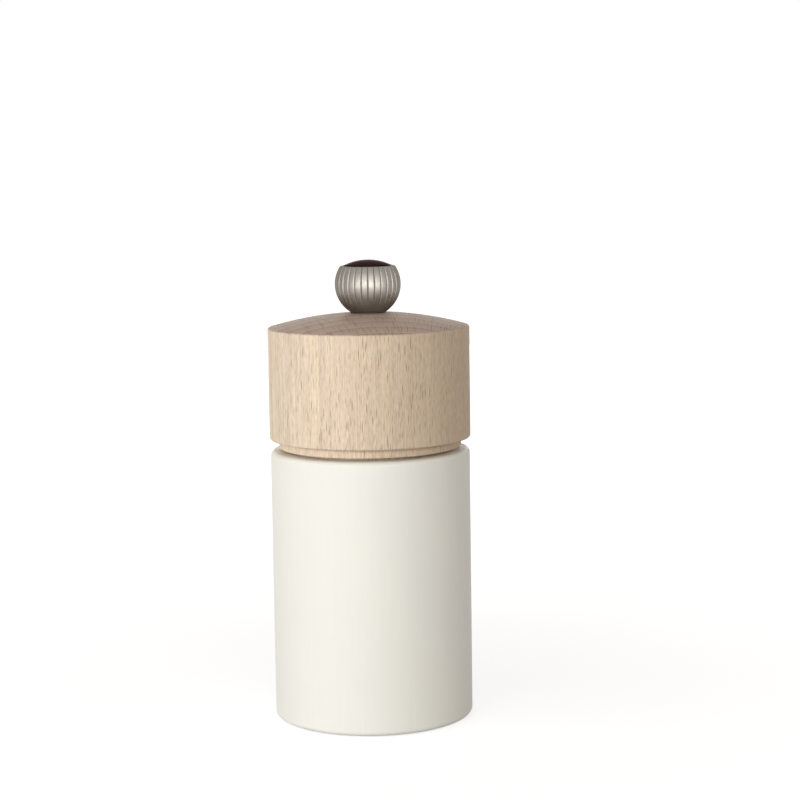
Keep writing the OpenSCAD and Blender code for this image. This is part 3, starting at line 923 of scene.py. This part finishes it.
@dataclass
class Body:
    """Turned body with everything that is fixed in it; sizes in mm.

    Attributes:
        r: Radius of the body.
        h: Height of the body.
        edge: Rounding of the foot and the rim.
        mouth: Radius of the mouth.
        ledge: Height of the mouth's ledge.
        chamber: Radius of the salt chamber.
        throat: Height where the funnel meets the chamber.
        sleeve: Radius of the carrier's sleeve.
        sleeve_top: Height of the sleeve's top.
        flange: Radius of the carrier's flange.
        flange_low: Height of the flange's lower face.
        seat: Height of the flange's upper face.
        ring: Radius of the grinding ring.
        ring_bore: Radius of its bore at its lower face.
        ring_low: Height of its lower face.
        ring_top: Height of its upper face.
        bar: Height of the bar's lower face.
        bar_t: Thickness of the bar.
        screw_circle: Radius of the circle that the screws are on.
    """

    r: float = 26.0
    h: float = 70.2
    edge: float = 1.2
    mouth: float = 21.0
    ledge: float = 62.2
    chamber: float = 18.0
    throat: float = 24.37
    sleeve: float = 16.0
    sleeve_top: float = 22.4
    flange: float = 20.8
    flange_low: float = 4.0
    seat: float = 6.4
    ring: float = 13.5
    ring_bore: float = 11.2
    ring_low: float = 8.5
    ring_top: float = 18.5
    bar: float = 2.8
    bar_t: float = 1.2
    screw_circle: float = 18.4

    def shell(self) -> Piece:
        """Body turned from one profile, lacquered outside and bare where it is bored.

        Returns:
            The piece.
        """
        recess, bore = self.flange + PRESS, self.sleeve + PRESS
        film_top, film_foot, wear = self.h - 0.5, 0.3, 1.5
        profile = rounded([
            (recess, 0.0, 0.35), (self.r, 0.0, self.edge), (self.r, self.h, self.edge), (self.mouth, self.h, 0.6),
            (self.mouth, self.ledge, 0.15), (self.chamber, self.ledge, 0.3), (self.chamber, self.throat, 0.5),
            (bore, self.sleeve_top, 0.0), (bore, self.seat, 0.1), (recess, self.seat, 0.1),
        ], steps=8)
        r, z = profile.T
        strip_r, strip_z = ((profile + np.roll(profile, -1, 0)) / 2).T
        lacquered = (strip_r > self.mouth + PRESS) | (strip_z > film_top) | (strip_z < film_foot)
        worn = np.clip(1 - np.minimum(z, self.h - z) / wear, 0, 1) * (r > self.mouth)
        surface = Shell(turned(r, z, 256), paint=np.where(lacquered, 0, 1), marks={"edge": worn})
        return Piece("turned_body", "body_shell", "body_unit", [surface], [CREAM, BORED])

    def slip_ring(self) -> Piece:
        """Ring on the mouth's ledge, with eased edges.

        Returns:
            The piece.
        """
        outer, inner, low, high = self.mouth - PRESS, self.chamber + PRESS, self.ledge, self.ledge + 1.2
        surface = lathe([(outer, low, 0.15), (outer, high, 0.3), (inner, high, 0.3), (inner, low, 0.15)])
        return Piece("slip_ring_turned", "slip_ring", "body_unit", [surface], [ACETAL])

    def carrier(self) -> Piece:
        """Flanged carrier with its lip, its snap ring's groove and its bridge's seat.

        Returns:
            The piece.
        """
        bored, groove, groove_low = self.ring + PRESS, 14.3, 7.3
        bridge, bridge_z, lip = 14.43, 20.0, 12.2
        surface = lathe([
            (self.flange, self.flange_low, 0.35), (self.flange, self.seat, 0.2),
            (self.sleeve, self.seat, 0.12), (self.sleeve, self.sleeve_top, 0.3),
            (bridge, self.sleeve_top, 0.2), (bridge, bridge_z, 0.1), (lip, bridge_z, 0.25),
            (lip, self.ring_top, 0.2), (bored, self.ring_top, 0.1), (bored, self.ring_low, 0.0),
            (groove, self.ring_low, 0.05), (groove, groove_low, 0.05), (bored, groove_low, 0.15),
            (bored, self.flange_low, 0.45),
        ])
        return Piece("carrier_moulded", "mill_carrier", "body_unit", [surface], [NYLON])

    def grinding_ring(self) -> Piece:
        """Ring whose bore is a cone with leaning grooves, scooped out at the top where the salt goes in.

        Returns:
            The piece.
        """
        low, high, edge = self.ring_low, self.ring_top, 0.25
        scoops, first, depth, start, full = 6, math.radians(7.5), 1.4, high - 3.6, high - 1.0
        z = np.linspace(low, high, 25)
        cone = self.ring_bore - (z - low) * SLOPE
        radius, angle = Teeth(24, 12.0, 1).cut(cone, z)
        scoop = smooth(np.cos(scoops * (angle - first)), 0.35, 0.85) * smooth(z, start, full)[:, None]
        radius = np.maximum(radius, cone[:, None] + depth * scoop)
        inset = self.ring - edge
        back = [(inset, high), (self.ring, high - edge), (self.ring, low + edge), (inset, low)]
        surface = Teeth.shell(radius, angle, z, back, 2)
        return Piece("ring_toothed", "grinding_ring", "body_unit", [surface], [GRINDER], 28.0)

    def bottom_bar(self) -> Piece:
        """Round-ended bar across the outlet, with a bearing hole at its middle.

        Returns:
            The piece.
        """
        reach, half, hole, edge = 17.0, 3.5, 2.26, 0.18
        t = np.linspace(-np.pi / 2, np.pi / 2, 33)
        run = np.linspace(0, 1, 33)[1:-1]

        def outer(inset: float) -> Grid:
            """Outline of the bar at an inset: two half circles joined by straights.

            Args:
                inset: Distance inside the bar's edge, mm.

            Returns:
                Columns by 2 coordinates, mm.
            """
            w = half - inset
            end = np.stack([reach + w * np.cos(t), w * np.sin(t)], -1)
            side = np.stack([reach * (1 - 2 * run), np.full_like(run, w)], -1)
            return np.concatenate([end, side, -end, -side])

        def inner(inset: float) -> Grid:
            """Outline of the hole at an inset, point for point beside the bar's outline."""
            line = outer(0.0)
            return line / np.linalg.norm(line, axis=1, keepdims=True) * (hole + inset)

        surface = Shell(plate((outer, inner), self.bar, self.bar + self.bar_t, edge))
        return Piece("outlet_bar", "bottom_bar", "body_unit", [surface], [SHEET])

    def screws(self) -> Piece:
        """Four pan-head screws with cross recesses: the head's face is lifted by the larger of two smooth slots.

        Returns:
            The piece.
        """
        shank, length, point, bevel = 1.3, 11.1, 1.5, 0.1
        pan, head_h, crown, slot_depth = 2.1, 1.6, 0.8, 0.75
        flat = pan - crown
        r = np.concatenate([np.linspace(0, flat, 16), flat + crown * np.sin(np.linspace(0, np.pi / 2, 9))[1:]])
        z = -head_h + crown - np.sqrt(np.maximum(crown**2 - np.maximum(r - flat, 0) ** 2, 0))
        tail = [(pan, -bevel), (pan - bevel, 0.0), (shank, 0.0), (shank, length - point), (0.0, length)]
        tail_r, tail_z = np.transpose(tail)
        screw = turned(np.concatenate([r, tail_r]), np.concatenate([z, tail_z]), 64)
        shells = []
        for i, quarter in enumerate(even(4)):
            turn = math.radians(45 + 23 * i)
            u = screw[..., 0] * math.cos(turn) + screw[..., 1] * math.sin(turn)
            v = screw[..., 1] * math.cos(turn) - screw[..., 0] * math.sin(turn)
            slots = [smooth(-abs(a), -1.2, -0.85) * smooth(-abs(b), -0.42, -0.26) for a, b in ((u, v), (v, u))]
            under = self.flange_low if i % 2 else self.bar
            place = (self.screw_circle * math.cos(quarter), self.screw_circle * math.sin(quarter), under)
            points = screw + np.array(place)
            points[: len(r), :, 2] += slot_depth * np.maximum(*slots)[: len(r)]
            shells.append(Shell(points, loop=False))
        return Piece("carrier_screw_set", "carrier_screws", "body_unit", shells, [ZINC])

    def build(self) -> None:
        """Builds the pieces that are fixed in the body, and dresses the nodes that stay."""
        for piece in (self.shell, self.slip_ring, self.carrier, self.grinding_ring, self.bottom_bar, self.screws):
            piece().build()
        dress_nodes({"ring_snap": SPRING_WIRE, "spindle_bridge": NYLON})


@dataclass
class Drive:
    """Spindle with its rotor, bush and spring; sizes in mm.

    Attributes:
        half: Half of the spindle's width.
        low: Height of the journal's end.
        rotor: Height of the rotor's lower face.
        rotor_top: Height of the rotor's upper face.
        rotor_r: Radius of the rotor at its lower face.
        thread: Height where the thread starts.
        top: Height of the spindle's top.
        pitch: Pitch of the thread.
        spring_low: Height of the spring's seat.
        spring_top: Height of the bush that the spring presses on.
    """

    half: float = 2.5
    low: float = 2.0
    rotor: float = 8.2
    rotor_top: float = 17.6
    rotor_r: float = 10.7
    thread: float = 98.483
    top: float = 114.803
    pitch: float = 0.8
    spring_low: float = 12.1
    spring_top: float = 19.2

    def spindle(self) -> Piece:
        """Journal, rounded square bar and a true thread: core + depth times a ridge at fract(z / pitch - a / 2 pi).

        Returns:
            The piece.
        """
        columns, core, depth, journal, low = 96, 2.05, 0.45, 2.2, self.low
        clip, clip_low, clip_top, tip = 1.7, 7.2, 8.1, 1.7
        foot_r, foot_z = np.transpose([
            (0.0, low), (1.8, low), (2.1, low + 0.1), (journal, low + 0.4), (journal, clip_low),
            (clip, clip_low), (clip, clip_top), (journal, self.rotor),
        ])
        corner = np.array([0.0, 0.12, 0.3])
        bar_z = np.concatenate([self.rotor + corner, np.linspace(10.0, 97.0, 30), self.thread - corner[::-1]])
        bar = np.repeat(squared(self.half, columns)[None], len(bar_z), 0)
        z = np.arange(self.thread, self.top - 0.3, self.pitch / 10)
        wave = np.mod((z[:, None] - self.thread) / self.pitch - np.arange(columns) / columns, 1.0)
        ridge = np.clip(1.2 * (1 - np.abs(2 * wave - 1)) - 0.08, 0, 1)
        runout = smooth(z, self.thread, self.thread + self.pitch) * smooth(-z, -self.top, self.pitch - self.top)
        screw = core + depth * ridge * runout[:, None]
        tip_z = [self.top - 0.25, self.top, self.top]
        radius = [all_round(foot_r, columns), bar, screw, all_round([core, tip, 0.0], columns)]
        points = turned(np.concatenate(radius), np.concatenate([foot_z, bar_z, z, tip_z]), columns)
        return Piece("square_spindle", "spindle", "spindle_unit", [Shell(points, loop=False)], [BAR])

    def grinding_rotor(self) -> Piece:
        """Cone with leaning grooves outside, and a pocket for the spring above its square hole.

        Returns:
            The piece.
        """
        pocket, floor, edge, hole = 5.136, 11.5, 0.3, 2.6
        z = np.linspace(self.rotor, self.rotor_top, 21)
        radius, angle = Teeth(20, -12.0, -1).cut(self.rotor_r - (z - self.rotor) * SLOPE, z)
        back = [
            (pocket + edge, self.rotor_top), (pocket, self.rotor_top - edge), (pocket, floor), (hole, floor),
            (hole, self.rotor),
        ]
        surface = Teeth.shell(radius, angle, z, back, 3)
        return Piece("rotor_toothed", "grinding_rotor", "spindle_unit", [surface], [GRINDER], 28.0)

    def spring(self) -> Piece:
        """Round wire along a helix: [r cos 2 pi t, r sin 2 pi t, low + rise t].

        Returns:
            The piece.
        """
        turns, coil, wire, gap, steps = 4.5, 4.386, 0.4, 0.03, 48
        t = np.linspace(0, turns, int(turns * steps) + 1)
        low, high = self.spring_low + wire + gap, self.spring_top - wire - gap
        out = np.stack([np.cos(2 * np.pi * t), np.sin(2 * np.pi * t), 0 * t], -1)
        path = coil * out + np.stack([0 * t, 0 * t, low + (high - low) * t / turns], -1)
        surface = Shell(tube(path, out, wire), loop=False)
        return Piece("coil_spring", "spring", "bush_unit", [surface], [SPRING_WIRE], 50.0)

    def build(self) -> None:
        """Builds the drive; the spring is placed between the bush and the rotor, and rides on no body."""
        self.spindle().build()
        self.grinding_rotor().build()
        coil = self.spring().place()
        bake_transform(coil)
        dress_nodes({"spindle_bush": ACETAL, "spring_seat": TURNED_SHEET, "rotor_clip": SPRING_WIRE})


@dataclass
class Head:
    """Turned beech head with its plate and sleeve; sizes in mm.

    Attributes:
        r: Radius of the head.
        spigot: Radius of the spigot.
        step: Radius of the step above the body.
        spigot_low: Height of the spigot's lower face.
        step_low: Height of the step's lower face.
        side_low: Height of the side's lower edge.
        dome_r: Radius of the dome's sphere.
        dome_z: Height of the sphere's centre.
        edge: Rounding of the side's edges.
        spot: Radius of the flat under the knob.
        guide: Radius of the sleeve's seat.
        guide_low: Height of the sleeve's seat.
        passage: Radius of the spindle's passage.
    """

    r: float = 26.2
    spigot: float = 20.6
    step: float = 23.7
    spigot_low: float = 64.9
    step_low: float = 70.9
    side_low: float = 73.2
    dome_r: float = 94.612
    dome_z: float = 11.188
    edge: float = 0.5
    spot: float = 4.7
    guide: float = 4.53
    guide_low: float = 99.683
    passage: float = 3.936

    def head(self) -> Piece:
        """Head turned from one profile; the dome is the end grain.

        Returns:
            The piece.
        """
        x, ease, skip = self.r - self.edge, 0.2, 4
        z = self.dome_z + math.sqrt((self.dome_r - self.edge) ** 2 - x**2)
        slope = math.degrees(math.atan2(z - self.dome_z, x))
        crown = math.degrees(math.acos(self.spot / self.dome_r))
        flat = self.dome_z + math.sqrt(self.dome_r**2 - self.spot**2)
        # The first corner's arc sets out towards the last corner, so its first points are left out
        side = rounded([
            (self.passage, self.spigot_low, ease), (self.spigot, self.spigot_low, 0.4),
            (self.spigot, self.step_low, 0.0), (self.step, self.step_low, 0.25), (self.step, self.side_low, 0.0),
            (self.r, self.side_low, self.edge), (self.r, z, 0.0),
        ], closed=False)[skip:]
        rim = arc(x, z, self.edge, 0, slope, 10)[1:]
        dome = arc(0, self.dome_z, self.dome_r, slope, crown, 40)[1:]
        bore = [
            (self.guide, flat), (self.guide, self.guide_low), (self.passage, self.guide_low),
            (self.passage, self.spigot_low + ease),
        ]
        r, z = np.concatenate([side, rim, dome, bore]).T
        rest = np.ones(len(dome) + len(bore))
        end = np.concatenate([np.zeros(len(side)), np.linspace(0.1, 1, len(rim)), rest])
        surface = Shell(turned(r, z, 256), marks={"end_grain": end})
        return Piece("turned_head", "head", "head_unit", [surface], [BEECH])

    def build(self) -> None:
        """Builds the head and dresses the nodes fixed in it."""
        self.head().build()
        dress_nodes({"drive_plate": TURNED_SHEET, "plate_screws": ZINC, "spindle_guide": ACETAL})


@dataclass
class Knob:
    """Fluted ball knob, its insert and its washer; sizes in mm.

    Attributes:
        r: Radius of the ball.
        centre: Height of the ball's centre.
        low: Height of the base.
        high: Height of the top's edge.
        flutes: Number of V flutes.
        width: Width of a flute at the ball's waist.
        depth: Depth of a flute.
        soft: Rounding of a flute's edges, as a share of its half width.
        fade: Heights where the flutes start and are full, in ball radii above the centre.
        floor: Height of the insert's seat.
        insert: Radius of the insert.
        edge: Height of the insert's straight edge above the knob.
        apex: Height of the insert's middle.
        spot: Height of the flat that the washer lies on.
        washer_r: Radius of the washer.
        flange: Radius of its flange below the knob's base.
        nut: Radius of the threaded insert's bore in the knob.
        nut_top: Height of that bore's end.
    """

    r: float = 8.55
    centre: float = 113.14
    low: float = 105.933
    high: float = 117.903
    flutes: int = 30
    width: float = 0.5
    depth: float = 0.22
    soft: float = 0.16
    fade: tuple[float, float] = (-0.62, -0.42)
    floor: float = 117.003
    insert: float = 6.15
    edge: float = 0.25
    apex: float = 119.553
    spot: float = 105.683
    washer_r: float = 4.0
    flange: float = 4.56
    nut: float = 3.63
    nut_top: float = 116.003

    def flute(self) -> tuple[Grid, Grid]:
        """Angle and share of the depth at each column: (g + sqrt(g^2 + soft^2)) / 2, where g = 1 - |offset| / half.

        Returns:
            Angle of each column, radians, and its share of a flute's depth, all round the ball.
        """
        pitch, reach = 2 * np.pi / self.flutes, 1.4
        half = math.asin(self.width / 2 / self.r)
        slope = np.linspace(-reach, reach, 15) * half
        land = np.linspace(slope[-1], pitch + slope[0], 7)[1:-1]
        offset = np.concatenate([slope, land])
        g = 1 - np.minimum(np.abs(offset), np.abs(pitch - offset)) / half
        share = (g + np.sqrt(g**2 + self.soft**2)) / 2
        middle = (np.arange(self.flutes) + 0.5) * pitch
        return (middle[:, None] + offset[None]).ravel(), np.tile(share, self.flutes)

    def ball(self) -> Piece:
        """Ball with V flutes along its meridians: (r - depth share fade) cos(lat) at height r sin(lat).

        Returns:
            The piece.
        """
        recess, sink, seat = self.washer_r + 2 * PRESS, self.low + 0.55, self.insert + PRESS
        ease, bevel, lip, lip_in, lip_drop = 0.12, 0.08, 0.16, 0.03, 0.07
        angle, share = self.flute()
        columns = len(angle)
        low, high = (math.asin((z - self.centre) / self.r) for z in (self.low, self.high))
        lat = np.linspace(low, high, 73)
        cut = share[None] * smooth(np.sin(lat), *self.fade)[:, None]
        radius = (self.r - self.depth * cut) * np.cos(lat)[:, None]
        z = self.centre + self.r * np.sin(lat)
        under_r, under_z = np.transpose([
            (0.0, self.nut_top), (self.nut, self.nut_top), (self.nut, sink), (recess, sink),
            (recess, self.low + bevel), (recess + bevel, self.low),
        ])
        over_r, over_z = np.transpose([
            (seat + ease, self.high), (seat, self.high - ease), (seat, self.floor), (0.0, self.floor),
        ])
        rim = radius[-1:] - lip
        radius[-1] -= lip_in
        r = np.concatenate([all_round(under_r, columns), radius, rim, all_round(over_r, columns)])
        points = turned(r, np.concatenate([under_z, z[:-1], z[-1:] - lip_drop, z[-1:], over_z]), columns, angle)
        # The mark "hollow" is each flute's depth share; the steel is rougher by it and carries a painted shade there.
        hollow = np.zeros(points.shape[:2])
        hollow[len(under_r) : len(under_r) + len(lat)] = np.clip(cut, 0, 1)
        surface = Shell(points, loop=False, marks={"hollow": hollow})
        return Piece("fluted_knob", "knob", "knob_unit", [surface], [KNOB_STEEL], 40.0)

    def dome(self) -> Piece:
        """Plain domed insert with a straight edge, its top cut from a sphere of radius (a^2 + h^2) / 2 h.

        Returns:
            The piece.
        """
        rim, bevel, inset, drop = self.high + self.edge, 0.1, 0.06, 0.05
        rise = self.apex - rim
        cap = (self.insert**2 + rise**2) / (2 * rise)
        start = math.degrees(math.acos((self.insert - inset) / cap))
        foot = [
            (0.0, self.floor), (self.insert - bevel, self.floor), (self.insert, self.floor + bevel),
            (self.insert, rim - drop),
        ]
        r, z = np.concatenate([foot, arc(0, self.apex - cap, cap, start, 90, 28)]).T
        surface = Shell(turned(np.maximum(r, 0), z, 128), loop=False)
        return Piece("dark_insert", "knob_insert", "knob_unit", [surface], [MAROON])

    def washer(self) -> Piece:
        """Washer under the knob, let into it, with a thin flange that fills the gap below its base and eased edges.

        Returns:
            The piece.
        """
        bore, high, lip = 2.9, self.spot + 0.8, self.low - 0.04
        surface = lathe([
            (self.flange, self.spot, 0.06), (self.flange, lip, 0.06), (self.washer_r, lip, 0.04),
            (self.washer_r, high, 0.1), (bore, high, 0.1), (bore, self.spot, 0.1),
        ], 96, 4)
        return Piece("washer_moulded", "knob_washer", "washer_unit", [surface], [NYLON])

    def build(self) -> None:
        """Builds the knob and dresses its threaded insert."""
        for piece in (self.washer, self.ball, self.dome):
            piece().build()
        dress_nodes({"knob_nut": BRASS})


# Studio


class Reach(Enum):
    """What a lamp's light falls on."""

    ALL = "matt and shiny surfaces"
    MATT = "matt surfaces"
    SHINE = "reflections"


@dataclass
class Lamp:
    """Soft area lamp that looks at the mill.

    Attributes:
        name: Name of the lamp.
        place: Its place, m.
        size: Its width and height, m.
        power: Its power, W.
        colour: Its colour, linear.
        reach: What its light falls on.
    """

    name: str
    place: tuple[float, float, float]
    size: tuple[float, float]
    power: float
    colour: Colour = WHITE
    reach: Reach = Reach.ALL

    def build(self, target: Vector) -> None:
        """Adds the lamp, turned towards a target.

        Args:
            target: Place that it looks at, m.
        """
        data = bpy.data.lights.new(self.name, "AREA")
        data.shape = "RECTANGLE"
        data.size, data.size_y = self.size
        data.energy, data.color = self.power, self.colour
        lamp = add_object(self.name, data)
        lamp.visible_camera = False
        lamp.visible_glossy = self.reach is not Reach.MATT
        lamp.visible_diffuse = self.reach is not Reach.SHINE
        turn = (target - Vector(self.place)).to_track_quat("-Z", "Y").to_matrix().to_4x4()
        lamp.matrix_world = Matrix.Translation(self.place) @ turn


@dataclass
class Studio:
    """White studio: camera, lamps, ambient light and a pale floor that keeps the shadow.

    Attributes:
        eye: Place of the camera, m.
        lens: Focal length on a 36 mm sensor, mm.
        pitch: Downward tilt of the camera, radians.
        yaw: Turn of the camera towards +X, radians.
        roll: Roll of the camera, radians.
        ambient: Strength of the ambient light.
        warmth: Colour of the ambient light, linear.
        target: Place that the lamps look at, m.
        lamps: The lamps.
        floor_r: Radius of the floor, m.
        floor_z: Height of the floor, m.
        floor_colour: Colour of the floor, linear.
        glow: Strength of the floor's glow at the mill and far from it.
        glow_r: Distances of those two strengths from the axis, m.
    """

    eye: tuple[float, float, float] = (0.0, -0.539, 0.1488)
    lens: float = 93.7
    pitch: float = 0.122
    yaw: float = 0.0147
    roll: float = -0.0143
    ambient: float = 0.375
    warmth: Colour = (1.0, 0.92, 0.83)
    target: tuple[float, float, float] = (0.0, 0.0, 0.06)
    lamps: tuple[Lamp, ...] = (
        Lamp("key", (-0.79, -0.53, 0.2), (1.1, 0.36), 5.1, (0.97, 1.0, 1.02), Reach.MATT),
        Lamp("front", (0.03, -0.95, 0.34), (1.5, 0.34), 5.0, (0.98, 1.0, 1.01)),
        Lamp("sheen", (0.0, -0.95, 0.14), (2.4, 0.3), 13.0, (1.0, 0.99, 0.96), Reach.SHINE),
        Lamp("back", (0.0, 1.0, 0.14), (0.7, 0.5), 2.2),
    )
    floor_r: float = 4.0
    floor_z: float = -0.0002
    floor_colour: Colour = (0.5, 0.5, 0.5)
    glow: tuple[float, float] = (0.7, 0.94)
    glow_r: tuple[float, float] = (0.05, 0.35)

    def camera(self) -> None:
        """Adds the camera from its place and three angles."""
        level = Vector((math.cos(self.yaw), -math.sin(self.yaw), 0))
        ahead = Vector((math.sin(self.yaw), math.cos(self.yaw), 0))
        forward = math.cos(self.pitch) * ahead - math.sin(self.pitch) * Vector((0, 0, 1))
        above = level.cross(forward)
        right = math.cos(self.roll) * level + math.sin(self.roll) * above
        up = math.cos(self.roll) * above - math.sin(self.roll) * level
        data = bpy.data.cameras.new("camera")
        data.lens, data.sensor_width, data.sensor_fit = self.lens, 36.0, "HORIZONTAL"
        data.clip_start, data.clip_end = 0.01, 50.0
        camera = add_object("camera", data)
        turn = Matrix((right, up, -forward)).transposed().to_4x4()
        camera.matrix_world = Matrix.Translation(self.eye) @ turn
        bpy.context.scene.camera = camera

    def surroundings(self) -> None:
        """Makes the world white to look at, and an even ambient light on everything else."""
        world = bpy.data.worlds.new("studio")
        tree = Tree(world)
        light, white = tree.out("Background", self.warmth, self.ambient), tree.out("Background", WHITE, 1.0)
        tree.add("OutputWorld", tree.out("MixShader", tree.seen(), light, white))
        bpy.context.scene.world = world

    def floor(self) -> None:
        """Adds a round floor: matt, with a glow for the rays that show it, and clear from below."""
        edge = turned(np.array([self.floor_r]), np.array([self.floor_z]), 64)[0]
        mesh = bpy.data.meshes.new("floor")
        mesh.from_pydata(edge.tolist(), [], [range(len(edge))])
        material = bpy.data.materials.new("pale_floor")
        tree = Tree(material)
        place = tree.add("TexCoord").outputs["Object"]
        far = tree.add("VectorMath", place, operation="LENGTH").outputs["Value"]
        strength = tree.times(tree.ease(far, *self.glow_r, *self.glow), tree.seen())
        matt, glow = tree.out("BsdfDiffuse", self.floor_colour), tree.out("Emission", WHITE, strength)
        below = tree.add("NewGeometry").outputs["Backfacing"]
        above, clear = tree.out("AddShader", matt, glow), tree.out("BsdfTransparent")
        tree.add("OutputMaterial", tree.out("MixShader", below, above, clear))
        mesh.materials.append(material)
        floor = add_object("floor", mesh)
        floor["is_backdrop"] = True

    def build(self) -> None:
        """Builds the studio and sets the plain view transform."""
        self.camera()
        self.surroundings()
        self.floor()
        for lamp in self.lamps:
            lamp.build(Vector(self.target))
        bpy.context.scene.view_settings.view_transform = "Standard"


def main() -> None:
    """Builds the studio and the mill."""
    Studio().build()
    for part in (Body(), Drive(), Head(), Knob()):
        part.build()
        log.info("%s built", type(part).__name__)
    boxes = {"cad": cad_box, "visual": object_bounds()}
    boxes = {name: [list(map(float, corner)) for corner in box] for name, box in boxes.items()}


if __name__ == "__main__":
    main()
